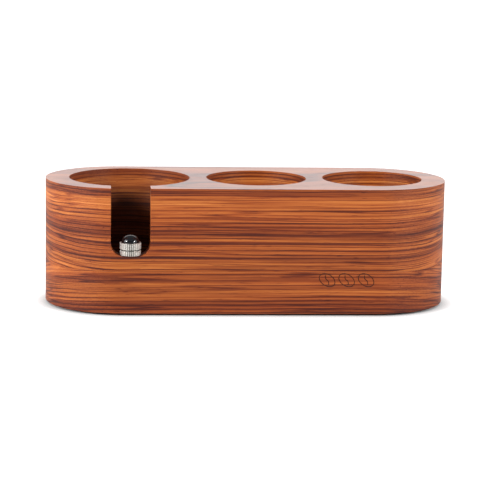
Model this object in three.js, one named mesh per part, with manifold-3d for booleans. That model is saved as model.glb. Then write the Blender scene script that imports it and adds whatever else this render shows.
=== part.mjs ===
// Espresso tamping station: a laminated hardwood block with a portafilter well, two tool pockets
// and a screw-adjusted rest for the portafilter's handle, standing in a slot through the front wall.
// Millimetres, +Z up, front towards -Y. The origin is under the middle of the block, on the surface
// that its feet stand on.

import * as THREE from "three";
import { mergeVertices } from "three/addons/utils/BufferGeometryUtils.js";
import Module from "manifold-3d";

const wasm = await Module();
wasm.setup();

// Block
const blockDepth = 90;            // front to back, also the diameter of the round ends
const woodHeight = 74;            // both boards together
const baseBoardHeight = 25;       // the lower board
const glueGap = 0.1;              // between the boards
const edgeRound = 1.2;            // outer top and bottom edges
const endWall = 14;               // wood beyond the first and the last round opening
const webWidth = 10;              // wood between two round openings

// Round openings, from left to right
const wellDiameter = 72;
const wellFloorThickness = 12;    // wood left under the well
const pocketDiameter = 60;        // takes a 58 mm tamper or distributor
const pocketDepth = 28;
const rimChamfer = 0.8;

// Handle slot through the front wall of the well
const slotWidth = 23;
const slotDepth = 40;             // from the top face down to the sill
const slotCornerRadius = 7.5;

// Height-adjusting post on the slot's sill
const postDiameter = 12.4;        // over the knurl
const knurlTeeth = 30;
const knurlDepth = 0.45;
const toothTaper = 0.15;          // how far a tooth's corners lean in, as a share of a step
const ringHeight = 3;
const knobHeight = 4;
const postChamfer = 0.4;
const stackGap = 0.3;             // sill to ring
const ringToKnob = 0.5;           // ring to knob
const padDiameter = 10.4;
const padHeight = 4.3;            // proud of the knob
const padShoulder = 0.9;          // proud of the knob, where the dome begins
const cupDepth = 0.8;             // recess in the knob that holds the pad
const cupGap = 0.15;
const studDiameter = 4;
const studLengthBelowKnob = 20.8;
const studInKnob = 2.4;
const studPoint = 0.5;            // chamfer at the stud's lower end
const studGap = 0.2;              // stud to the ring, the bush and the knob's bore, all round
const bushWall = 0.5;
const bushLength = 12;
const bushGap = 0.1;
const studWellSpare = 1.5;        // hole below the stud's lowest place
const spotFaceGap = 0.3;          // flat spot on the sill, round the ring

// Feet
const footDiameter = 10;
const footHeight = 3;
const footProud = 1;
const footEase = 0.4;             // chamfer round the face that it stands on
const footGap = 0.3;
const footBondGap = 0.1;
const footInset = 28;             // from the block's end to the end feet
const footRowSpacing = 56;        // front row to back row

// Facets
const edgeSegments = 2;
const endSegments = 30;
const boreSegments = 64;
const postSegments = 32;
const domeSegments = 9;

// Worked out from the sizes above
const endRadius = blockDepth / 2;
const blockLength = 2 * endWall + 2 * webWidth + wellDiameter + 2 * pocketDiameter;
const woodBottom = footProud;
const woodTop = woodBottom + woodHeight;
const glueLine = woodBottom + baseBoardHeight;
const wellX = -blockLength / 2 + endWall + wellDiameter / 2;
const tamperX = wellX + wellDiameter / 2 + webWidth + pocketDiameter / 2;
const distributorX = tamperX + webWidth + pocketDiameter;
const wellFloor = woodBottom + wellFloorThickness;
const pocketFloor = woodTop - pocketDepth;
const sill = woodTop - slotDepth;
const postY = -(endRadius + wellDiameter / 2) / 2;
const ringBottom = sill + stackGap;
const knobBottom = ringBottom + ringHeight + ringToKnob;
const knobTop = knobBottom + knobHeight;
const studBottom = knobBottom - studLengthBelowKnob;
const bushBoreRadius = studDiameter / 2 + studGap;
const bushRadius = bushBoreRadius + bushWall;
const bushTop = sill - bushGap;
const reach = blockLength + blockDepth;   // longer than anything it cuts

const finishes = {
  wood: { color: 0xa5602f, roughness: 0.45, metalness: 0 },
  knurledSteel: { color: 0xc9c8c4, roughness: 0.22, metalness: 1 },
  studSteel: { color: 0x9b9a96, roughness: 0.35, metalness: 1 },
  brass: { color: 0xb9924a, roughness: 0.35, metalness: 1 },
  blackGloss: { color: 0x08080a, roughness: 0.08, metalness: 0 },
  silicone: { color: 0x151515, roughness: 0.75, metalness: 0 },
};

function solidFrom(geometry) {
  const bare = geometry.clone();
  bare.deleteAttribute("normal");
  bare.deleteAttribute("uv");
  const merged = mergeVertices(bare, 1e-4);
  return new wasm.Manifold(new wasm.Mesh({
    numProp: 3,
    vertProperties: new Float32Array(merged.attributes.position.array),
    triVerts: new Uint32Array(merged.index.array),
  }));
}

function geometryFrom(solid) {
  const mesh = solid.getMesh();
  const geometry = new THREE.BufferGeometry();
  geometry.setAttribute("position", new THREE.BufferAttribute(mesh.vertProperties, 3));
  geometry.setIndex(new THREE.BufferAttribute(mesh.triVerts, 1));
  geometry.computeVertexNormals();
  return geometry;
}

// A solid of revolution about +Z. Each profile point is [radius, height].
function turned(profile, segments, x = 0, y = 0) {
  const points = profile.map(([radius, height]) => new THREE.Vector2(radius, height));
  const geometry = new THREE.LatheGeometry(points, segments);
  geometry.rotateX(Math.PI / 2);
  geometry.translate(x, y, 0);
  return solidFrom(geometry);
}

function cylinder(diameter, low, high, segments, x = 0, y = 0) {
  const radius = diameter / 2;
  return turned([[0, low], [radius, low], [radius, high], [0, high]], segments, x, y);
}

function slab(low, high) {
  const geometry = new THREE.BoxGeometry(reach, reach, high - low);
  geometry.translate(0, 0, (low + high) / 2);
  return solidFrom(geometry);
}

// The block's plan is a stadium: two straight sides and two half circles.
function stadium(inset) {
  const radius = endRadius - inset;
  const centre = blockLength / 2 - endRadius;
  const shape = new THREE.Shape();
  shape.absarc(centre, 0, radius, -Math.PI / 2, Math.PI / 2, false);
  shape.absarc(-centre, 0, radius, Math.PI / 2, 3 * Math.PI / 2, false);
  shape.closePath();
  return shape;
}

function wholeBlock() {
  const geometry = new THREE.ExtrudeGeometry(stadium(edgeRound), {
    depth: woodHeight - 2 * edgeRound,
    bevelThickness: edgeRound,
    bevelSize: edgeRound,
    bevelSegments: edgeSegments,
    curveSegments: endSegments,
  });
  geometry.translate(0, 0, woodBottom + edgeRound);
  return solidFrom(geometry);
}

// A round opening from the top face down to its floor, with its rim eased.
function roundOpening(x, diameter, floor) {
  const radius = diameter / 2;
  const above = woodTop + rimChamfer;
  return turned([
    [0, floor],
    [radius, floor],
    [radius, woodTop - rimChamfer],
    [radius + 2 * rimChamfer, above],
    [0, above],
  ], boreSegments, x);
}

// The slot's outline in X and Z, pushed through the front wall into the well.
function handleSlot() {
  const half = slotWidth / 2;
  const above = woodTop + edgeRound;
  const shape = new THREE.Shape();
  shape.moveTo(half, above);
  shape.lineTo(-half, above);
  shape.lineTo(-half, sill + slotCornerRadius);
  shape.absarc(-half + slotCornerRadius, sill + slotCornerRadius, slotCornerRadius,
    Math.PI, 1.5 * Math.PI, false);
  shape.absarc(half - slotCornerRadius, sill + slotCornerRadius, slotCornerRadius,
    1.5 * Math.PI, 2 * Math.PI, false);
  shape.closePath();
  const geometry = new THREE.ExtrudeGeometry(shape, {
    depth: endRadius,
    bevelEnabled: false,
    curveSegments: 12,
  });
  geometry.rotateX(Math.PI / 2);
  geometry.translate(wellX, -wellDiameter / 4, 0);
  return solidFrom(geometry);
}

function bushHole() {
  const bottom = studBottom - studWellSpare;
  const stud = cylinder(2 * bushBoreRadius, bottom, sill, postSegments, wellX, postY);
  const seat = cylinder(2 * (bushRadius + bushGap), bushTop - bushLength - bushGap, sill + 1,
    postSegments, wellX, postY);
  return stud.add(seat);
}

// A flat spot that the lock ring turns on, where the slot's round corners reach under it.
function spotFace() {
  return cylinder(postDiameter + 2 * spotFaceGap, sill, sill + slotCornerRadius,
    postSegments, wellX, postY);
}

function footPlaces() {
  const endX = blockLength / 2 - footInset;
  const places = [];
  for (const x of [-endX, 0, endX]) {
    for (const y of [-footRowSpacing / 2, footRowSpacing / 2]) {
      places.push([x, y]);
    }
  }
  return places;
}

function footRecesses() {
  const top = footHeight + footBondGap;
  return footPlaces().map(([x, y]) =>
    cylinder(footDiameter + 2 * footGap, 0, top, postSegments, x, y));
}

function woodCut() {
  return wholeBlock()
    .subtract(roundOpening(wellX, wellDiameter, wellFloor))
    .subtract(roundOpening(tamperX, pocketDiameter, pocketFloor))
    .subtract(roundOpening(distributorX, pocketDiameter, pocketFloor))
    .subtract(handleSlot())
    .subtract(spotFace())
    .subtract(bushHole());
}

function upperBlock() {
  return woodCut().intersect(slab(glueLine + glueGap, woodTop + edgeRound));
}

function baseBoard() {
  const board = woodCut().intersect(slab(0, glueLine));
  return footRecesses().reduce((rest, recess) => rest.subtract(recess), board);
}

// A disc with straight teeth round its rim and both edges chamfered.
function knurledDisc(low, height) {
  const outer = postDiameter / 2;
  const shape = new THREE.Shape();
  const steps = 4 * knurlTeeth;
  for (let i = 0; i < steps; i += 1) {
    const radius = i % 4 < 2 ? outer : outer - knurlDepth;
    const angle = 2 * Math.PI * (i + (i % 2 === 0 ? toothTaper : -toothTaper)) / steps;
    const x = radius * Math.cos(angle);
    const y = radius * Math.sin(angle);
    if (i === 0) shape.moveTo(x, y);
    else shape.lineTo(x, y);
  }
  shape.closePath();
  const geometry = new THREE.ExtrudeGeometry(shape, { depth: height, bevelEnabled: false });
  geometry.translate(0, 0, low);
  const high = low + height;
  const envelope = turned([
    [0, low],
    [outer - postChamfer, low],
    [outer, low + postChamfer],
    [outer, high - postChamfer],
    [outer - postChamfer, high],
    [0, high],
  ], postSegments * 2);
  return solidFrom(geometry).intersect(envelope).translate([wellX, postY, 0]);
}

function lockRing() {
  const hole = cylinder(2 * bushBoreRadius, ringBottom - 1, ringBottom + ringHeight + 1,
    postSegments, wellX, postY);
  return knurledDisc(ringBottom, ringHeight).subtract(hole);
}

function adjusterKnob() {
  const bore = cylinder(2 * bushBoreRadius, knobBottom - 1, knobBottom + studInKnob + studGap,
    postSegments, wellX, postY);
  const cup = cylinder(padDiameter + 2 * cupGap, knobTop - cupDepth, knobTop + 1,
    postSegments, wellX, postY);
  return knurledDisc(knobBottom, knobHeight).subtract(bore).subtract(cup);
}

function postStud() {
  const radius = studDiameter / 2;
  return turned([
    [0, studBottom],
    [radius - studPoint, studBottom],
    [radius, studBottom + studPoint],
    [radius, knobBottom + studInKnob],
    [0, knobBottom + studInKnob],
  ], postSegments, wellX, postY);
}

function threadedBush() {
  const bottom = bushTop - bushLength;
  const body = cylinder(2 * bushRadius, bottom, bushTop, postSegments, wellX, postY);
  const bore = cylinder(2 * bushBoreRadius, bottom - 1, bushTop + 1, postSegments, wellX, postY);
  return body.subtract(bore);
}

// A short cylinder in the knob's cup that rises into a spherical cap.
function domePad() {
  const radius = padDiameter / 2;
  const low = knobTop - cupDepth + cupGap;
  const rimHeight = knobTop + padShoulder;
  const top = knobTop + padHeight;
  const rise = top - rimHeight;
  const sphere = (radius * radius + rise * rise) / (2 * rise);
  const sweep = Math.asin(radius / sphere);
  const profile = [[0, low], [radius, low]];
  for (let i = 0; i < domeSegments; i += 1) {
    const angle = sweep * (1 - i / domeSegments);
    profile.push([sphere * Math.sin(angle), top - sphere + sphere * Math.cos(angle)]);
  }
  profile.push([0, top]);
  return turned(profile, postSegments, wellX, postY);
}

function foot(x, y) {
  const radius = footDiameter / 2;
  return turned([
    [0, 0],
    [radius - footEase, 0],
    [radius, footEase],
    [radius, footHeight],
    [0, footHeight],
  ], postSegments, x, y);
}

const tampingStation = new THREE.Group();
tampingStation.name = "tamping_station";

function addPiece(name, solid, finish) {
  const material = new THREE.MeshStandardMaterial({ name, ...finish });
  const mesh = new THREE.Mesh(geometryFrom(solid), material);
  mesh.name = name;
  tampingStation.add(mesh);
}

addPiece("upper_block", upperBlock(), finishes.wood);
addPiece("base_board", baseBoard(), finishes.wood);
footPlaces().forEach(([x, y], i) => {
  addPiece(`foot_${i + 1}`, foot(x, y), finishes.silicone);
});
addPiece("threaded_bush", threadedBush(), finishes.brass);
addPiece("lock_ring", lockRing(), finishes.knurledSteel);
addPiece("adjuster_knob", adjusterKnob(), finishes.knurledSteel);
addPiece("post_stud", postStud(), finishes.studSteel);
addPiece("dome_pad", domePad(), finishes.blackGloss);

export default tampingStation;
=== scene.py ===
from math import cos, pi, radians, sin, tan

import bmesh
import bpy
from mathutils import Matrix, Vector


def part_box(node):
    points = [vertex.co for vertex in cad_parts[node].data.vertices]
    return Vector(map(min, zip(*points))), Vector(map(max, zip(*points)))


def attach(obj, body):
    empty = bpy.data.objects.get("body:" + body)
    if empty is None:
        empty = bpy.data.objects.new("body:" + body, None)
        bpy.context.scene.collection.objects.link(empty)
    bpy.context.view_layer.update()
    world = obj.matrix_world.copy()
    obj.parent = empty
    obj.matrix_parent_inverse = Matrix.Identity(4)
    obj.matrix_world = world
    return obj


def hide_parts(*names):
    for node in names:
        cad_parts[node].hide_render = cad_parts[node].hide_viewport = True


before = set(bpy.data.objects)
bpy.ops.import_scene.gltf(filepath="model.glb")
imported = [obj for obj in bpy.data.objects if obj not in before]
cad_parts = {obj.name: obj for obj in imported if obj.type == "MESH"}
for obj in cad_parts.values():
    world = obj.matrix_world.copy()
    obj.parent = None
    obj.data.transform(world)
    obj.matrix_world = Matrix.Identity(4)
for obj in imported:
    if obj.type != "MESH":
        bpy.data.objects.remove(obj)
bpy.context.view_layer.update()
scene = bpy.context.scene
scene.view_settings.view_transform = "Standard"
print("frame loaded")

upperLow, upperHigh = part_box("upper_block")
baseLow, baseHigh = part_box("base_board")
ringLow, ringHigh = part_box("lock_ring")
knobLow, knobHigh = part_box("adjuster_knob")
studLow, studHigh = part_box("post_stud")
padLow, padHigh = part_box("dome_pad")
endRadius = upperHigh.y
endCentre = upperHigh.x - endRadius
postAxis = Vector(((ringLow.x + ringHigh.x) / 2, (ringLow.y + ringHigh.y) / 2, 0))

footCount = 6
weld = 1e-6  # corners closer than this are one corner
fineWeld = 1e-7


def linkObject(name, mesh):
    made = bpy.data.objects.new(name, mesh)
    scene.collection.objects.link(made)
    return made


def objectFrom(bm, name):
    mesh = bpy.data.meshes.new(name)
    bm.to_mesh(mesh)
    bm.free()
    return linkObject(name, mesh)


def combined(piece, cutters, operation="DIFFERENCE"):
    for cutter in cutters:
        modifier = piece.modifiers.new("cut", "BOOLEAN")
        modifier.operation = operation
        modifier.solver = "EXACT"
        modifier.object = cutter
    graph = bpy.context.evaluated_depsgraph_get()
    mesh = bpy.data.meshes.new_from_object(piece.evaluated_get(graph))
    bm = bmesh.new()
    bm.from_mesh(mesh)
    for used in [piece, *cutters]:
        bpy.data.objects.remove(used)
    bpy.data.meshes.remove(mesh)
    bmesh.ops.remove_doubles(bm, verts=bm.verts, dist=weld)
    return bm


def finished(bm, name, materials, body, replaced=(), sharp=38):
    # cleans the mesh up, shades it and puts it on its body
    bmesh.ops.remove_doubles(bm, verts=bm.verts, dist=weld)
    bmesh.ops.recalc_face_normals(bm, faces=bm.faces)
    piece = objectFrom(bm, name)
    for material in materials:
        piece.data.materials.append(material)
    piece.data.shade_smooth()
    piece.data.set_sharp_from_angle(angle=radians(sharp))
    weighted = piece.modifiers.new("even shading", "WEIGHTED_NORMAL")
    weighted.keep_sharp = True
    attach(piece, body)
    if replaced:
        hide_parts(*replaced)
    return piece


def turned(profile, steps, centre=(0, 0, 0)):
    # a closed solid of revolution: the profile is radius and height, from axis to axis
    bm = bmesh.new()
    verts = [bm.verts.new((radius, 0, height)) for radius, height in profile]
    edges = [bm.edges.new(pair) for pair in zip(verts, verts[1:])]
    bmesh.ops.spin(bm, geom=verts + edges, cent=(0, 0, 0), axis=(0, 0, 1),
                   angle=2 * pi, steps=steps, use_merge=True)
    bmesh.ops.remove_doubles(bm, verts=bm.verts, dist=fineWeld)
    bmesh.ops.recalc_face_normals(bm, faces=bm.faces)
    bmesh.ops.translate(bm, verts=bm.verts, vec=centre)
    return bm


def turnedObject(profile, steps, centre=(0, 0, 0)):
    return objectFrom(turned(profile, steps, centre), "turned")


def cylinderObject(radius, low, high, steps, x, y):
    return turnedObject([(0, low), (radius, low), (radius, high), (0, high)], steps, (x, y, 0))


def newMaterial(name):
    material = bpy.data.materials.new(name)
    material.use_nodes = True
    shader = material.node_tree.nodes["Principled BSDF"]
    return material, material.node_tree, shader


def addNode(tree, kind, **settings):
    node = tree.nodes.new("ShaderNode" + kind)
    for key, value in settings.items():
        setattr(node, key, value)
    return node


def feed(tree, socket, value):
    # a socket takes a link from another socket, or a plain value
    if isinstance(value, bpy.types.NodeSocket):
        tree.links.new(value, socket)
    else:
        socket.default_value = value


def math(tree, operation, first, second=0.0, third=0.0, clamp=False):
    node = addNode(tree, "Math", operation=operation, use_clamp=clamp)
    for socket, value in zip(node.inputs, (first, second, third)):
        feed(tree, socket, value)
    return node.outputs[0]


def mixColour(tree, amount, first, second, blend="MIX"):
    node = addNode(tree, "Mix", data_type="RGBA", blend_type=blend, clamp_factor=True)
    feed(tree, node.inputs["Factor"], amount)
    feed(tree, node.inputs["A"], first)
    feed(tree, node.inputs["B"], second)
    return node.outputs["Result"]


def rangeOf(tree, value, low, high, toLow=0.0, toHigh=1.0):
    node = addNode(tree, "MapRange", clamp=True, interpolation_type="SMOOTHSTEP")
    for socket, number in zip(node.inputs, (value, low, high, toLow, toHigh)):
        feed(tree, socket, number)
    return node.outputs[0]


def ramp(tree, value, stops):
    node = addNode(tree, "ValToRGB")
    elements = node.color_ramp.elements
    while len(elements) < len(stops):
        elements.new(0.5)
    for element, (place, colour) in zip(elements, stops):
        element.position = place
        element.color = (*colour, 1) if isinstance(colour, tuple) else (colour, colour, colour, 1)
    feed(tree, node.inputs[0], value)
    return node.outputs[0]


def noise(tree, vector, scale, detail=2.0, roughness=0.5):
    node = addNode(tree, "TexNoise")
    feed(tree, node.inputs["Vector"], vector)
    feed(tree, node.inputs["Scale"], scale)
    feed(tree, node.inputs["Detail"], detail)
    feed(tree, node.inputs["Roughness"], roughness)
    return node.outputs["Fac"]


def centred(tree, value):
    # noise runs from 0 to 1: this moves its middle to 0
    return math(tree, "SUBTRACT", value, 0.5)


def stretched(tree, x, y, z, scales):
    # a vector from three values, each on its own scale
    node = addNode(tree, "CombineXYZ")
    for socket, value, scale in zip(node.inputs, (x, y, z), scales):
        feed(tree, socket, math(tree, "MULTIPLY", value, scale))
    return node.outputs[0]


def bump(tree, height, strength, distance):
    node = addNode(tree, "Bump")
    feed(tree, node.inputs["Strength"], strength)
    feed(tree, node.inputs["Distance"], distance)
    feed(tree, node.inputs["Height"], height)
    return node.outputs[0]


def distanceFrom(tree, place, middle):
    # how far a place is from an upright line through middle
    split = addNode(tree, "SeparateXYZ")
    feed(tree, split.inputs[0], place)
    across = math(tree, "SUBTRACT", split.outputs[0], middle[0])
    along = math(tree, "SUBTRACT", split.outputs[1], middle[1])
    squared = math(tree, "MULTIPLY_ADD", across, across, math(tree, "MULTIPLY", along, along))
    return math(tree, "SQRT", squared), split.outputs[2]


def newGroup(name, inputs, outputs):
    group = bpy.data.node_groups.new(name, "ShaderNodeTree")
    for label, kind, value in inputs:
        socket = group.interface.new_socket(label, in_out="INPUT", socket_type=kind)
        if value is not None:
            socket.default_value = value
    for label, kind in outputs:
        group.interface.new_socket(label, in_out="OUTPUT", socket_type=kind)
    return group, group.nodes.new("NodeGroupInput"), group.nodes.new("NodeGroupOutput")


def useGroup(tree, group, **values):
    node = tree.nodes.new("ShaderNodeGroup")
    node.node_tree = group
    for label, value in values.items():
        feed(tree, node.inputs[label], value)
    return node


# Layers run level along the block. Places are heights in metres, tones go from dark to light.
# A scale holds one number each along the block, across it and upwards: larger numbers, finer marks.
woodGrain = {
    "tones": [(0.0, (0.056, 0.010, 0.005)), (0.25, (0.150, 0.028, 0.007)), (0.5, (0.290, 0.069, 0.014)),
              (0.75, (0.425, 0.127, 0.026)), (1.0, (0.59, 0.225, 0.056))],
    "layers": [(0.000, 0.42), (0.0075, 0.30), (0.0095, 0.50), (0.0145, 0.60), (0.0168, 0.42),
               (0.0190, 0.54), (0.0212, 0.38), (0.0240, 0.48), (0.0268, 0.64), (0.0302, 0.64),
               (0.0330, 0.46), (0.0343, 0.22), (0.0356, 0.46), (0.0403, 0.62), (0.0426, 0.34),
               (0.0440, 0.62), (0.0462, 0.50), (0.0475, 0.18), (0.0490, 0.34), (0.0512, 0.42),
               (0.0545, 0.54), (0.0568, 0.50), (0.0585, 0.70), (0.0604, 0.54), (0.0625, 0.68),
               (0.0640, 0.77), (0.0684, 0.77), (0.0698, 0.56), (0.0715, 0.36), (0.0750, 0.44)],
    "waviness": 0.0009,
    "slowWave": (9, 16, 22),
    "slowWaveAmount": 2.2,
    "quickWave": (38, 55, 120),
    "quickWaveAmount": 0.7,
    "endFlare": 2.4,
    "flareStart": 0.85,
    "climbHeights": (0.030, 0.075),
    "ringPitch": 0.0023,
    "ringAmount": 0.50,
    "ringDarkens": (0.60, 0.90),
    "ringEnds": (0.92, 1.0),
    "ringDrift": 0.0018,
    "driftScale": (2, 4, 230),
    "patchScale": (7, 20, 130),
    "patchRange": (0.36, 0.60),
    "patchLeast": 0.30,
    "streakScale": (5, 26, 620),
    "streakAmount": 0.62,
    "lineScale": (5, 22, 330),
    "lineWidth": 0.05,
    "lineAmount": 0.30,
    "fibreScale": (60, 1100, 2400),
    "fibreAmount": 0.20,
    "poreScale": (110, 2100, 2100),
    "poreRange": (0.66, 0.76),
    "poreAmount": 0.26,
    "hueScale": (4, 12, 90),
    "hueRange": (0.35, 0.7),
    "hueAmount": 0.5,
    "hueTint": (1.0, 0.80, 0.86, 1),
    "roughness": 0.36,
    "fibreRelief": 0.4,
    "fibreRoughness": 0.18,
    "poreRoughness": 0.2,
    "bumpStrength": 0.12,
    "bumpDepth": 0.00005,
    "ior": 1.37,
    "shadeDepths": (0.050, 0.073),
    "shadeAmounts": (0.66, 0.14),
    "shadeColour": (0.020, 0.007, 0.005, 1),
    "shadeEdge": (0.0003, 0.0010),
    "scorch": 0.9,
    "scorchColour": (0.014, 0.007, 0.005, 1),
    "scorchRoughness": 0.8,
    "upperTilt": -6.0,
    "lowerTilt": 10.0,
    "lowerSeed": 0.37,
}


def grainGroup(g):
    # colour, height and roughness of one board at a place inside it
    group, given, result = newGroup(
        "layered grain",
        [("Vector", "NodeSocketVector", None), ("Tilt", "NodeSocketFloat", 0.0),
         ("Seed", "NodeSocketFloat", 0.0)],
        [("Color", "NodeSocketColor"), ("Height", "NodeSocketFloat"),
         ("Roughness", "NodeSocketFloat")])
    split = addNode(group, "SeparateXYZ")
    feed(group, split.inputs[0], given.outputs["Vector"])
    x, y, z = split.outputs
    # the layers wander a little along the board, and more in the rounded ends
    away = math(group, "ABSOLUTE", x)
    toEnd = rangeOf(group, away, endCentre * g["flareStart"], endCentre + endRadius, 1.0, g["endFlare"])
    x = math(group, "ADD", x, given.outputs["Seed"])
    slow = centred(group, noise(group, stretched(group, x, y, z, g["slowWave"]), 1.0, 1.0))
    quick = centred(group, noise(group, stretched(group, x, y, z, g["quickWave"]), 1.0, 2.0))
    wander = math(group, "ADD", math(group, "MULTIPLY", slow, g["slowWaveAmount"]),
                  math(group, "MULTIPLY", quick, g["quickWaveAmount"]))
    wander = math(group, "MULTIPLY", wander, toEnd)
    # they climb or fall towards the back, less so near the top
    climb = rangeOf(group, z, *g["climbHeights"], 1.0, 0.0)
    rise = math(group, "MULTIPLY", math(group, "ADD", y, endRadius), given.outputs["Tilt"])
    rise = math(group, "MULTIPLY", rise, climb)
    level = math(group, "ADD", z, rise)
    layer = math(group, "MULTIPLY_ADD", wander, g["waviness"], level)
    top = g["layers"][-1][0]
    tone = ramp(group, math(group, "DIVIDE", layer, top),
                [(place / top, value) for place, value in g["layers"]])
    # growth rings: each one darkens slowly, then ends at once
    uneven = centred(group, noise(group, stretched(group, x, y, layer, g["driftScale"]), 1.0, 1.0))
    drifted = math(group, "MULTIPLY_ADD", uneven, g["ringDrift"], layer)
    ring = math(group, "FRACT", math(group, "DIVIDE", drifted, g["ringPitch"]))
    late = rangeOf(group, ring, *g["ringDarkens"])
    early = rangeOf(group, ring, *g["ringEnds"], 1.0, 0.0)
    line = math(group, "MULTIPLY", late, early)
    patch = noise(group, stretched(group, x, y, layer, g["patchScale"]), 1.0, 2.0)
    patch = rangeOf(group, patch, *g["patchRange"], g["patchLeast"], 1.0)
    tone = math(group, "SUBTRACT", tone, math(group, "MULTIPLY", math(group, "MULTIPLY", line, patch),
                                              g["ringAmount"]))
    # long streaks, dark veins, fine fibres and open pores
    streak = centred(group, noise(group, stretched(group, x, y, layer, g["streakScale"]), 1.0, 4.0, 0.66))
    tone = math(group, "MULTIPLY_ADD", streak, g["streakAmount"] * 2, tone)
    vein = centred(group, noise(group, stretched(group, x, y, layer, g["lineScale"]), 1.0, 1.0))
    vein = rangeOf(group, math(group, "ABSOLUTE", vein), 0.0, g["lineWidth"], 1.0, 0.0)
    tone = math(group, "SUBTRACT", tone, math(group, "MULTIPLY", vein, g["lineAmount"]))
    fibre = noise(group, stretched(group, x, y, layer, g["fibreScale"]), 1.0, 2.0, 0.6)
    tone = math(group, "MULTIPLY_ADD", centred(group, fibre), g["fibreAmount"] * 2, tone)
    pore = noise(group, stretched(group, x, y, z, g["poreScale"]), 1.0, 1.0)
    pore = rangeOf(group, pore, *g["poreRange"])
    tone = math(group, "SUBTRACT", tone, math(group, "MULTIPLY", pore, g["poreAmount"]))
    colour = ramp(group, tone, g["tones"])
    # some layers lean towards red
    hue = noise(group, stretched(group, x, y, layer, g["hueScale"]), 1.0, 2.0)
    redder = rangeOf(group, hue, *g["hueRange"], 0.0, g["hueAmount"])
    colour = mixColour(group, redder, colour, g["hueTint"], "MULTIPLY")
    feed(group, result.inputs["Color"], colour)
    height = math(group, "SUBTRACT", math(group, "MULTIPLY", fibre, g["fibreRelief"]), pore)
    feed(group, result.inputs["Height"], height)
    rough = math(group, "MULTIPLY_ADD", centred(group, fibre), g["fibreRoughness"], g["roughness"])
    feed(group, result.inputs["Roughness"], math(group, "MULTIPLY_ADD", pore, g["poreRoughness"], rough))
    return group


layeredGrain = grainGroup(woodGrain)


def deepShade(tree, place, colour):
    # the well's wall is tinted darker with depth, because soft light alone leaves it too pale
    reach, height = distanceFrom(tree, place, (wellX, 0))
    wall = block["wellDiameter"] / 2
    edgeLow, edgeHigh = woodGrain["shadeEdge"]
    inside = rangeOf(tree, reach, wall + edgeLow, wall + edgeHigh, 1.0, 0.0)
    amount = rangeOf(tree, height, *woodGrain["shadeDepths"], *woodGrain["shadeAmounts"])
    return mixColour(tree, math(tree, "MULTIPLY", amount, inside), colour, woodGrain["shadeColour"])


def woodMaterial(name, tilt, seed):
    material, tree, shader = newMaterial(name)
    place = addNode(tree, "TexCoord").outputs["Object"]
    grain = useGroup(tree, layeredGrain, Vector=place, Tilt=tan(radians(tilt)), Seed=seed)
    feed(tree, shader.inputs["Base Color"], deepShade(tree, place, grain.outputs["Color"]))
    feed(tree, shader.inputs["Roughness"], grain.outputs["Roughness"])
    relief = bump(tree, grain.outputs["Height"], woodGrain["bumpStrength"], woodGrain["bumpDepth"])
    feed(tree, shader.inputs["Normal"], relief)
    shader.inputs["IOR"].default_value = woodGrain["ior"]
    return material


def scorchedMaterial():
    # the burnt bottom of the engraved lines
    material, tree, shader = newMaterial("scorched wood")
    place = addNode(tree, "TexCoord").outputs["Object"]
    grain = useGroup(tree, layeredGrain, Vector=place, Tilt=0.0, Seed=0.0)
    colour = mixColour(tree, woodGrain["scorch"], grain.outputs["Color"], woodGrain["scorchColour"])
    feed(tree, shader.inputs["Base Color"], colour)
    shader.inputs["Roughness"].default_value = woodGrain["scorchRoughness"]
    return material


block = {
    "fillet": 0.0014,
    "filletSteps": 5,
    "endSteps": 109,
    "endWall": 0.014,
    "web": 0.010,
    "wellDiameter": 0.072,
    "wellSteps": 116,
    "wellFloor": 0.013,
    "pocketDiameter": 0.060,
    "pocketDepth": 0.028,
    "pocketSteps": 108,
    "slotWidth": 0.023,
    "slotDepth": 0.040,
    "slotCorner": 0.0075,
    "slotCornerSteps": 12,
    "footHole": 0.0053,
    "footHoleTop": 0.0031,
    "bushHole": 0.0028,
    "studHole": 0.0022,
    "studHoleBottom": 0.0165,
    "studHoleTop": 0.04,
    "smallSteps": 40,
    "studSteps": 32,
    "slotReach": 0.032,
    "overshoot": 0.01,
    "cornerAngle": 40,
    "postClear": 0.0045,
    "nearby": 1e-4,
    "glueSkin": 1e-5,
}
wellX = upperLow.x + block["endWall"] + block["wellDiameter"] / 2
tamperX = wellX + block["wellDiameter"] / 2 + block["web"] + block["pocketDiameter"] / 2
distributorX = tamperX + block["web"] + block["pocketDiameter"]
sill = upperHigh.z - block["slotDepth"]

upperWood = woodMaterial("oiled wood, upper board", woodGrain["upperTilt"], 0.0)
lowerWood = woodMaterial("oiled wood, lower board", woodGrain["lowerTilt"], woodGrain["lowerSeed"])
scorchedWood = scorchedMaterial()
print("wood ready")


def boardBlank(low, high):
    # the stadium plan is drawn as two arcs joined up, then pulled up to the board's thickness
    bm = bmesh.new()
    for side in (1, -1):
        start = bm.verts.new((side * endCentre, -side * endRadius, low))
        bmesh.ops.spin(bm, geom=[start], cent=(side * endCentre, 0, low), axis=(0, 0, 1),
                       angle=pi, steps=block["endSteps"])
    bmesh.ops.remove_doubles(bm, verts=bm.verts, dist=fineWeld)
    ends = [v for v in bm.verts if len(v.link_edges) == 1]
    for y in (-endRadius, endRadius):
        bm.edges.new([v for v in ends if abs(v.co.y - y) < block["nearby"]])
    plan = bmesh.ops.contextual_create(bm, geom=bm.edges[:])["faces"]
    raised = bmesh.ops.extrude_face_region(bm, geom=plan)["geom"]
    lifted = [item for item in raised if isinstance(item, bmesh.types.BMVert)]
    bmesh.ops.translate(bm, verts=lifted, vec=(0, 0, high - low))
    bmesh.ops.recalc_face_normals(bm, faces=bm.faces)
    return objectFrom(bm, "board")


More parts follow.
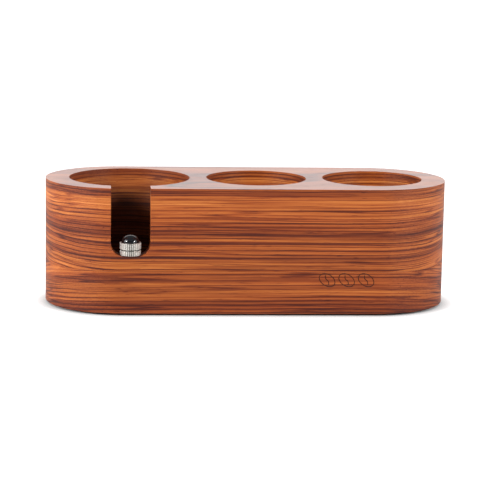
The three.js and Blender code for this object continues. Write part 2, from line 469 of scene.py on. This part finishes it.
def slotCutter():
    # a U pushed through the front wall
    half = block["slotWidth"] / 2
    corner = block["slotCorner"]
    front = -endRadius - block["overshoot"]
    above = upperHigh.z + block["overshoot"]
    bm = bmesh.new()
    first = bm.verts.new((wellX - half, front, above))
    left = bm.verts.new((wellX - half, front, sill + corner))
    bm.edges.new((first, left))
    bmesh.ops.spin(bm, geom=[left], cent=(wellX - half + corner, front, sill + corner),
                   axis=(0, -1, 0), angle=pi / 2, steps=block["slotCornerSteps"])
    right = bm.verts.new((wellX + half, front, sill + corner))
    last = bm.verts.new((wellX + half, front, above))
    bm.edges.new((last, right))
    bmesh.ops.spin(bm, geom=[right], cent=(wellX + half - corner, front, sill + corner),
                   axis=(0, 1, 0), angle=pi / 2, steps=block["slotCornerSteps"])
    bm.edges.new((first, last))
    loose = [v for v in bm.verts if len(v.link_edges) == 1]
    bm.edges.new(loose)
    plan = bmesh.ops.contextual_create(bm, geom=bm.edges[:])["faces"]
    pushed = bmesh.ops.extrude_face_region(bm, geom=plan)["geom"]
    moved = [item for item in pushed if isinstance(item, bmesh.types.BMVert)]
    bmesh.ops.translate(bm, verts=moved, vec=(0, block["slotReach"], 0))
    bmesh.ops.recalc_face_normals(bm, faces=bm.faces)
    return objectFrom(bm, "slot")


def roundCutter(x, diameter, floor, steps):
    return cylinderObject(diameter / 2, floor, upperHigh.z + block["overshoot"], steps, x, 0)


def filleted(bm, keepsSharp):
    # rounds every real corner except those that keepsSharp picks out
    bmesh.ops.recalc_face_normals(bm, faces=bm.faces)
    turn = radians(block["cornerAngle"])
    corners = [e for e in bm.edges
               if len(e.link_faces) == 2 and e.calc_face_angle() > turn and not keepsSharp(e)]
    bmesh.ops.bevel(bm, geom=corners, offset=block["fillet"], offset_type="OFFSET",
                    segments=block["filletSteps"], profile=0.5, affect="EDGES", material=-1,
                    clamp_overlap=True, loop_slide=True)
    return bm


def nearPost(e):
    middle = (e.verts[0].co + e.verts[1].co) / 2
    return (middle - postAxis).xy.length < block["postClear"]


bean = {
    "middles": (0.0452, 0.0567, 0.0682),
    "height": 0.0214,
    "long": 0.0053,
    "wide": 0.0036,
    "stroke": 0.0005,
    "lean": 32,
    "depth": 0.0004,
    "proud": 0.0005,
    "ovalSteps": 48,
    "creaseShare": 0.40,
    "creaseBend": 1.05,
    "creaseSweep": 82,
    "creaseSteps": 10,
    "skin": 2e-5,
}


def placeStroke(bm, middle):
    # stands a flat drawing on the front face and gives it its depth
    front = -endRadius - bean["proud"]
    raised = bmesh.ops.extrude_face_region(bm, geom=bm.faces[:])["geom"]
    lifted = [item for item in raised if isinstance(item, bmesh.types.BMVert)]
    bmesh.ops.translate(bm, verts=lifted, vec=(0, 0, bean["depth"] + bean["proud"]))
    turn = Matrix.Rotation(radians(bean["lean"]), 4, "Z")
    stand = Matrix.Rotation(radians(-90), 4, "X")
    place = Matrix.Translation((middle, front, bean["height"]))
    bmesh.ops.transform(bm, matrix=place @ stand @ turn, verts=bm.verts)
    bmesh.ops.recalc_face_normals(bm, faces=bm.faces)


def beanCutters():
    # an engraved row of coffee beans: an oval outline and a curved crease
    cutters = []
    for middle in bean["middles"]:
        bm = bmesh.new()
        oval = bmesh.ops.create_circle(bm, cap_ends=True, segments=bean["ovalSteps"], radius=1.0)["verts"]
        bmesh.ops.scale(bm, verts=oval, vec=(bean["long"], bean["wide"], 1))
        bmesh.ops.inset_individual(bm, faces=bm.faces[:], thickness=bean["stroke"])
        bmesh.ops.delete(bm, geom=[f for f in bm.faces if len(f.verts) > 4], context="FACES")
        placeStroke(bm, middle)
        cutters.append(objectFrom(bm, "outline"))
        crease = bmesh.new()
        half = bean["long"] * bean["creaseShare"]
        for side in (1, -1):
            a = crease.verts.new((0, -bean["stroke"] / 2, 0))
            b = crease.verts.new((0, bean["stroke"] / 2, 0))
            edge = crease.edges.new((a, b))
            bmesh.ops.spin(crease, geom=[a, b, edge], cent=(0, side * half * bean["creaseBend"], 0),
                           axis=(0, 0, 1), angle=radians(bean["creaseSweep"]),
                           steps=bean["creaseSteps"])
        bmesh.ops.remove_doubles(crease, verts=crease.verts, dist=weld)
        placeStroke(crease, middle)
        cutters.append(objectFrom(crease, "crease"))
    return cutters


def engraved(bm):
    # cuts the row of beans into the front face and marks the bottom of the cuts
    bm = combined(objectFrom(bm, "board"), beanCutters())
    skin = -endRadius + bean["skin"]
    reach = bean["long"] + bean["stroke"]
    for face in bm.faces:
        middle = face.calc_center_median()
        inRow = bean["middles"][0] - reach < middle.x < bean["middles"][-1] + reach
        inDepth = skin < middle.y < -endRadius + bean["depth"] + block["nearby"]
        if inRow and inDepth and abs(middle.z - bean["height"]) < reach:
            face.material_index = 1
    return bm


def makeUpperBlock():
    blank = boardBlank(upperLow.z, upperHigh.z)
    pocketFloor = upperHigh.z - block["pocketDepth"]
    cutters = [
        roundCutter(wellX, block["wellDiameter"], baseLow.z, block["wellSteps"]),
        roundCutter(tamperX, block["pocketDiameter"], pocketFloor, block["pocketSteps"]),
        roundCutter(distributorX, block["pocketDiameter"], pocketFloor, block["pocketSteps"]),
        slotCutter(),
        cylinderObject(block["bushHole"], 0, sill + block["nearby"], block["smallSteps"],
                       postAxis.x, postAxis.y),
    ]
    bm = combined(blank, cutters)
    glued = upperLow.z + block["glueSkin"]
    bm = filleted(bm, lambda e: all(v.co.z < glued for v in e.verts) or nearPost(e))
    finished(engraved(bm), "upper_block_wood", [upperWood, scorchedWood], "stand",
             ["upper_block"])


def makeBaseBoard():
    blank = boardBlank(baseLow.z, baseHigh.z)
    cutters = [roundCutter(wellX, block["wellDiameter"], block["wellFloor"], block["wellSteps"])]
    for i in range(1, footCount + 1):
        low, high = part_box(f"foot_{i}")
        cutters.append(cylinderObject(block["footHole"], 0, block["footHoleTop"], block["smallSteps"],
                                      (low.x + high.x) / 2, (low.y + high.y) / 2))
    cutters.append(cylinderObject(block["studHole"], block["studHoleBottom"], block["studHoleTop"],
                                  block["studSteps"], postAxis.x, postAxis.y))
    bm = combined(blank, cutters)
    glued = baseHigh.z - block["glueSkin"]

    def keepsSharp(e):
        atFoot = all(v.co.z < block["footHoleTop"] + block["nearby"] for v in e.verts)
        spine = [Vector((max(-endCentre, min(endCentre, v.co.x)), 0)) for v in e.verts]
        atRim = all((v.co.xy - s).length > endRadius - block["nearby"] for v, s in zip(e.verts, spine))
        atGlue = all(v.co.z > glued for v in e.verts)
        return atGlue or (atFoot and not atRim) or nearPost(e)

    bm = filleted(bm, keepsSharp)
    finished(engraved(bm), "base_board_wood", [lowerWood, scorchedWood], "stand",
             ["base_board"])


makeUpperBlock()
print("upper block ready")
makeBaseBoard()
print("base board ready")


marks = {"around": (90, 90, 1), "smudgeScale": 420.0, "smudgeRange": (0.35, 0.7), "strength": 0.3}


def marksGroup():
    # fine turning marks and smudges, for anything machined or moulded
    group, given, result = newGroup(
        "turning marks",
        [("Vector", "NodeSocketVector", None), ("Fineness", "NodeSocketFloat", 4000.0)],
        [("Marks", "NodeSocketFloat"), ("Smudge", "NodeSocketFloat")])
    split = addNode(group, "SeparateXYZ")
    feed(group, split.inputs[0], given.outputs["Vector"])
    x, y, z = split.outputs
    fine = math(group, "MULTIPLY", z, given.outputs["Fineness"])
    rings = stretched(group, x, y, fine, marks["around"])
    feed(group, result.inputs["Marks"], noise(group, rings, 1.0, 3.0, 0.6))
    smudge = noise(group, given.outputs["Vector"], marks["smudgeScale"], 3.0, 0.6)
    feed(group, result.inputs["Smudge"], smudge)
    return group


turningMarks = marksGroup()

recessShadeAmount = 0.62
recessShadeColour = (0.10, 0.09, 0.08, 1)

# colour and dark are the two ends of the smudges, recess the radii between full painted shade and none
finishes = {
    "bright knurled steel": {"colour": (0.98, 0.95, 0.90), "dark": (0.88, 0.84, 0.78), "roughness": 0.29,
                             "change": 0.10, "metallic": 1.0, "fineness": 5000.0, "depth": 0.00001,
                             "recess": (0.00566, 0.00602)},
    "rolled thread steel": {"colour": (0.62, 0.61, 0.59), "dark": (0.45, 0.44, 0.42), "roughness": 0.32,
                            "change": 0.12, "metallic": 1.0, "fineness": 3000.0, "depth": 0.00001},
    "turned brass": {"colour": (0.75, 0.53, 0.24), "dark": (0.55, 0.36, 0.14), "roughness": 0.28,
                     "change": 0.12, "metallic": 1.0, "fineness": 5000.0, "depth": 0.00002},
    "polished black": {"colour": (0.006, 0.006, 0.008), "dark": (0.004, 0.004, 0.005), "roughness": 0.06,
                       "change": 0.02, "metallic": 0.0, "fineness": 900.0, "depth": 0.0000002},
    "black silicone": {"colour": (0.022, 0.022, 0.023), "dark": (0.034, 0.033, 0.032), "roughness": 0.68,
                       "change": 0.12, "metallic": 0.0, "fineness": 2500.0, "depth": 0.00003},
}


def recessShade(tree, place, colour, recess):
    # painted shade: darkens whatever lies deeper than the tooth tips, as shade in the knurl's recesses
    reach = distanceFrom(tree, place, postAxis)[0]
    hollow = rangeOf(tree, reach, *recess, recessShadeAmount, 0.0)
    return mixColour(tree, hollow, colour, recessShadeColour)


def finish(name):
    # one machined or moulded finish
    look = finishes[name]
    material, tree, shader = newMaterial(name)
    place = addNode(tree, "TexCoord").outputs["Object"]
    wear = useGroup(tree, turningMarks, Vector=place, Fineness=look["fineness"])
    smudge = rangeOf(tree, wear.outputs["Smudge"], *marks["smudgeRange"])
    colour = mixColour(tree, smudge, (*look["colour"], 1), (*look["dark"], 1))
    # painted shade in the knurl's recesses, for finishes that list them
    if "recess" in look:
        colour = recessShade(tree, place, colour, look["recess"])
    feed(tree, shader.inputs["Base Color"], colour)
    change = math(tree, "ADD", wear.outputs["Marks"], wear.outputs["Smudge"])
    change = math(tree, "SUBTRACT", change, 1.0)
    rough = math(tree, "MULTIPLY_ADD", change, look["change"], look["roughness"])
    feed(tree, shader.inputs["Roughness"], rough)
    feed(tree, shader.inputs["Normal"], bump(tree, wear.outputs["Marks"], marks["strength"], look["depth"]))
    shader.inputs["Metallic"].default_value = look["metallic"]
    return material


brightSteel = finish("bright knurled steel")
threadSteel = finish("rolled thread steel")
turnedBrass = finish("turned brass")
blackDome = finish("polished black")
blackSilicone = finish("black silicone")
print("metal and silicone ready")


post = {
    "teeth": 30,
    "tooth": (0.0, 0.0, 0.10, 0.60, 1.0, 1.0, 0.60, 0.10),
    "toothDepth": 0.00062,
    "chamfer": 0.00028,
    "bore": 0.0022,
    "studInKnob": 0.0026,
    "cupRadius": 0.00535,
    "cupDepth": 0.0008,
    "domeSide": 0.0010,
    "domeSteps": 30,
    "pitch": 0.0007,
    "threadDepth": 0.00036,
    "threadSteps": 28,
    "threadShape": ((0, 0), (0, 0.12), (1, 0.44), (1, 0.56), (0, 0.88), (0, 1.0)),
    "envelopeSteps": 240,
    "boreSteps": 48,
    "cupSteps": 64,
    "domeTurnSteps": 96,
    "cutterTop": 0.1,
}


def knurledBlank(low, high, radius):
    # a toothed disc, trimmed by a turned envelope that has chamfered edges
    perTooth = len(post["tooth"])
    bm = bmesh.new()
    rim = bmesh.ops.create_circle(bm, cap_ends=True, segments=post["teeth"] * perTooth,
                                  radius=radius)["verts"]
    for i, v in enumerate(rim):
        v.co *= 1 - post["tooth"][i % perTooth] * post["toothDepth"] / radius
    raised = bmesh.ops.extrude_face_region(bm, geom=bm.faces[:])["geom"]
    lifted = [item for item in raised if isinstance(item, bmesh.types.BMVert)]
    bmesh.ops.translate(bm, verts=lifted, vec=(0, 0, high - low))
    bmesh.ops.translate(bm, verts=bm.verts, vec=(postAxis.x, postAxis.y, low))
    bmesh.ops.recalc_face_normals(bm, faces=bm.faces)
    chamfer = post["chamfer"]
    envelope = turnedObject([(0, low), (radius - chamfer, low), (radius, low + chamfer),
                             (radius, high - chamfer), (radius - chamfer, high), (0, high)],
                            post["envelopeSteps"], postAxis)
    return objectFrom(combined(objectFrom(bm, "teeth"), [envelope], "INTERSECT"), "knurl")


def eased(bm, offset, angle):
    # takes the sharpness off a small part's corners
    corners = [e for e in bm.edges if len(e.link_faces) == 2 and e.calc_face_angle() > radians(angle)]
    bmesh.ops.bevel(bm, geom=corners, offset=offset, offset_type="OFFSET", segments=2,
                    profile=0.5, affect="EDGES", material=-1, clamp_overlap=True)
    return bm


def makeRing():
    radius = (ringHigh.x - ringLow.x) / 2
    hole = cylinderObject(post["bore"], 0, post["cutterTop"], post["boreSteps"], postAxis.x, postAxis.y)
    bm = combined(knurledBlank(ringLow.z, ringHigh.z, radius), [hole])
    finished(bm, "lock_ring_knurled", [brightSteel], "lock", ["lock_ring"], sharp=30)


def makeKnob():
    radius = (knobHigh.x - knobLow.x) / 2
    bore = cylinderObject(post["bore"], 0, knobLow.z + post["studInKnob"], post["boreSteps"],
                          postAxis.x, postAxis.y)
    cup = cylinderObject(post["cupRadius"], knobHigh.z - post["cupDepth"], post["cutterTop"],
                         post["cupSteps"], postAxis.x, postAxis.y)
    bm = combined(knurledBlank(knobLow.z, knobHigh.z, radius), [bore, cup])
    finished(bm, "adjuster_knob_knurled", [brightSteel], "knob",
             ["adjuster_knob"], sharp=30)


def makeStud():
    # a thread swept up as one helix, then cut flat at both ends
    crest = (studHigh.x - studLow.x) / 2
    root = crest - post["threadDepth"]
    pitch = post["pitch"]
    turns = int((studHigh.z - studLow.z) / pitch) + 3
    bm = bmesh.new()
    verts = [bm.verts.new((crest if proud else root, 0, height * pitch))
             for proud, height in post["threadShape"]]
    edges = [bm.edges.new(pair) for pair in zip(verts, verts[1:])]
    bmesh.ops.spin(bm, geom=verts + edges, cent=(0, 0, 0), axis=(0, 0, 1),
                   dvec=(0, 0, pitch / post["threadSteps"]),
                   angle=2 * pi * turns, steps=turns * post["threadSteps"])
    bmesh.ops.translate(bm, verts=bm.verts, vec=(postAxis.x, postAxis.y, studLow.z - 1.5 * pitch))
    bmesh.ops.remove_doubles(bm, verts=bm.verts, dist=weld)
    for height, normal in ((studLow.z, (0, 0, -1)), (studHigh.z, (0, 0, 1))):
        cut = bmesh.ops.bisect_plane(bm, geom=bm.verts[:] + bm.edges[:] + bm.faces[:],
                                     plane_co=(0, 0, height), plane_no=normal, clear_outer=True)
        rim = [item for item in cut["geom_cut"] if isinstance(item, bmesh.types.BMEdge)]
        bmesh.ops.triangle_fill(bm, edges=rim, use_beauty=True, use_dissolve=True)
    finished(bm, "post_stud_thread", [threadSteel], "knob", ["post_stud"], sharp=25)


def makeDome():
    radius = (padHigh.x - padLow.x) / 2
    shoulder = padLow.z + post["domeSide"]
    rise = padHigh.z - shoulder
    profile = [(0, padLow.z), (radius - post["chamfer"], padLow.z), (radius, padLow.z + post["chamfer"])]
    for i in range(post["domeSteps"]):
        angle = pi / 2 * (1 - i / post["domeSteps"])
        profile.append((radius * sin(angle), shoulder + rise * cos(angle)))
    profile.append((0, padHigh.z))
    bm = turned(profile, post["domeTurnSteps"], postAxis)
    finished(bm, "dome_pad_polished", [blackDome], "pad", ["dome_pad"], sharp=50)


makeRing()
makeKnob()
makeStud()
makeDome()
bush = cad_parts["threaded_bush"]
bush.data.materials.clear()
bush.data.materials.append(turnedBrass)
print("post ready")


foot = {"ease": 0.0005, "lip": 0.0011, "groove": 0.0007, "grooveDepth": 0.0004, "draft": 0.0001,
        "steps": 64, "softening": 0.00012, "softenedAngle": 35}


def makeFoot(number):
    # a silicone button with a round groove in the face that it stands on
    low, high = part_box(f"foot_{number}")
    radius = (high.x - low.x) / 2
    grooveOut = radius - foot["ease"] - foot["lip"]
    grooveIn = grooveOut - foot["groove"]
    floor = low.z + foot["grooveDepth"]
    profile = [(0, low.z), (grooveIn, low.z), (grooveIn - foot["draft"], floor),
               (grooveOut + foot["draft"], floor), (grooveOut, low.z), (radius - foot["ease"], low.z),
               (radius, low.z + foot["ease"]), (radius, high.z), (0, high.z)]
    centre = ((low.x + high.x) / 2, (low.y + high.y) / 2, 0)
    bm = eased(turned(profile, foot["steps"], centre), foot["softening"], foot["softenedAngle"])
    finished(bm, f"foot_{number}_silicone", [blackSilicone], "stand",
             [f"foot_{number}"], sharp=50)


for footNumber in range(1, footCount + 1):
    makeFoot(footNumber)
print("feet ready")


# a box is a name, its turn from the front, its lift, its size and its power
studio = {
    "floorRadius": 6.0,
    "floorDrop": 0.0001,
    "floorGlow": 0.92,
    "floorTone": 0.45,
    "contact": 0.012,
    "contactPower": 2.2,
    "boxDistance": 1.3,
    "boxes": [("left softbox", -54, 20, 0.20, 13.8), ("right softbox", 50, 20, 0.20, 13.2),
              ("left side light", -78, 22, 0.75, 11.0), ("right side light", 76, 22, 0.75, 5.0)],
    "backLight": 2.35,
    "topLight": 0.24,
    "frontLight": 0.04,
    "backSpread": (-0.35, 0.35),
    "ceilingSpread": (0.30, 0.62),
    "aim": (0, 0, 0.05),
}

view = {"lens": 158.27, "place": (-0.09566, -1.25087, 0.26333),
        "down": 10.23, "right": 4.234, "roll": 0.974}


def makeFloor():
    # the floor glows for the camera, which sees it as white as the backdrop, but returns less light
    bm = bmesh.new()
    bmesh.ops.create_circle(bm, cap_ends=True, segments=96, radius=studio["floorRadius"])
    bmesh.ops.translate(bm, verts=bm.verts, vec=(0, 0, -studio["floorDrop"]))
    floor = objectFrom(bm, "floor")
    material, tree, shader = newMaterial("white floor")
    shader.inputs["Base Color"].default_value = (*[studio["floorTone"]] * 3, 1)
    shader.inputs["Roughness"].default_value = 0.9
    shader.inputs["Specular IOR Level"].default_value = 0.1
    shader.inputs["Emission Color"].default_value = (1, 1, 1, 1)
    # painted contact shadow: the floor's glow dims by ambient occlusion where the block and feet crowd it
    near = addNode(tree, "AmbientOcclusion", samples=8)
    near.inputs["Distance"].default_value = studio["contact"]
    clear = math(tree, "POWER", near.outputs["AO"], studio["contactPower"])
    seen = addNode(tree, "LightPath").outputs["Is Camera Ray"]
    glow = math(tree, "MULTIPLY", seen, studio["floorGlow"])
    feed(tree, shader.inputs["Emission Strength"], math(tree, "MULTIPLY", glow, clear))
    # it can be looked through from below
    sides = addNode(tree, "MixShader")
    feed(tree, sides.inputs[0], addNode(tree, "NewGeometry").outputs["Backfacing"])
    tree.links.new(shader.outputs[0], sides.inputs[1])
    tree.links.new(addNode(tree, "BsdfTransparent").outputs[0], sides.inputs[2])
    tree.links.new(sides.outputs[0], tree.nodes["Material Output"].inputs["Surface"])
    floor.data.materials.append(material)


def makeWorld():
    # a white backdrop behind the block that fades towards the front, and a dim ceiling
    world = bpy.data.worlds.new("studio")
    scene.world = world
    world.use_nodes = True
    tree = world.node_tree
    tree.nodes.clear()
    split = addNode(tree, "SeparateXYZ")
    feed(tree, split.inputs[0], addNode(tree, "TexCoord").outputs["Generated"])
    behind = rangeOf(tree, split.outputs[1], *studio["backSpread"], studio["frontLight"],
                     studio["backLight"])
    above = rangeOf(tree, split.outputs[2], *studio["ceilingSpread"])
    strength = math(tree, "ADD", math(tree, "MULTIPLY", behind, math(tree, "SUBTRACT", 1.0, above)),
                    math(tree, "MULTIPLY", above, studio["topLight"]))
    lit = addNode(tree, "Background")
    feed(tree, lit.inputs["Strength"], strength)
    seen = addNode(tree, "Background")
    mix = addNode(tree, "MixShader")
    feed(tree, mix.inputs[0], addNode(tree, "LightPath").outputs["Is Camera Ray"])
    tree.links.new(lit.outputs[0], mix.inputs[1])
    tree.links.new(seen.outputs[0], mix.inputs[2])
    seen.inputs["Color"].default_value = (1, 1, 1, 1)
    lit.inputs["Color"].default_value = (1, 1, 1, 1)
    output = addNode(tree, "OutputWorld")
    tree.links.new(mix.outputs[0], output.inputs[0])


def makeSoftbox(name, turn, lift, size, power):
    light = bpy.data.lights.new(name, "AREA")
    light.energy = power
    light.shape = "RECTANGLE"
    light.size = size
    light.size_y = size
    made = bpy.data.objects.new(name, light)
    scene.collection.objects.link(made)
    around, up = radians(turn), radians(lift)
    away = Vector((sin(around) * cos(up), -cos(around) * cos(up), sin(up)))
    made.location = Vector(studio["aim"]) + away * studio["boxDistance"]
    made.rotation_euler = away.to_track_quat("Z", "Y").to_euler()


def makeCamera():
    camera = bpy.data.cameras.new("camera")
    camera.lens = view["lens"]
    camera.sensor_width = 36
    camera.clip_end = 20
    made = bpy.data.objects.new("camera", camera)
    scene.collection.objects.link(made)
    made.matrix_world = (Matrix.Translation(view["place"])
                         @ Matrix.Rotation(-radians(view["right"]), 4, "Z")
                         @ Matrix.Rotation(radians(90 - view["down"]), 4, "X")
                         @ Matrix.Rotation(radians(view["roll"]), 4, "Z"))
    scene.camera = made


makeFloor()
makeWorld()
for box in studio["boxes"]:
    makeSoftbox(*box)
makeCamera()
print("studio ready")
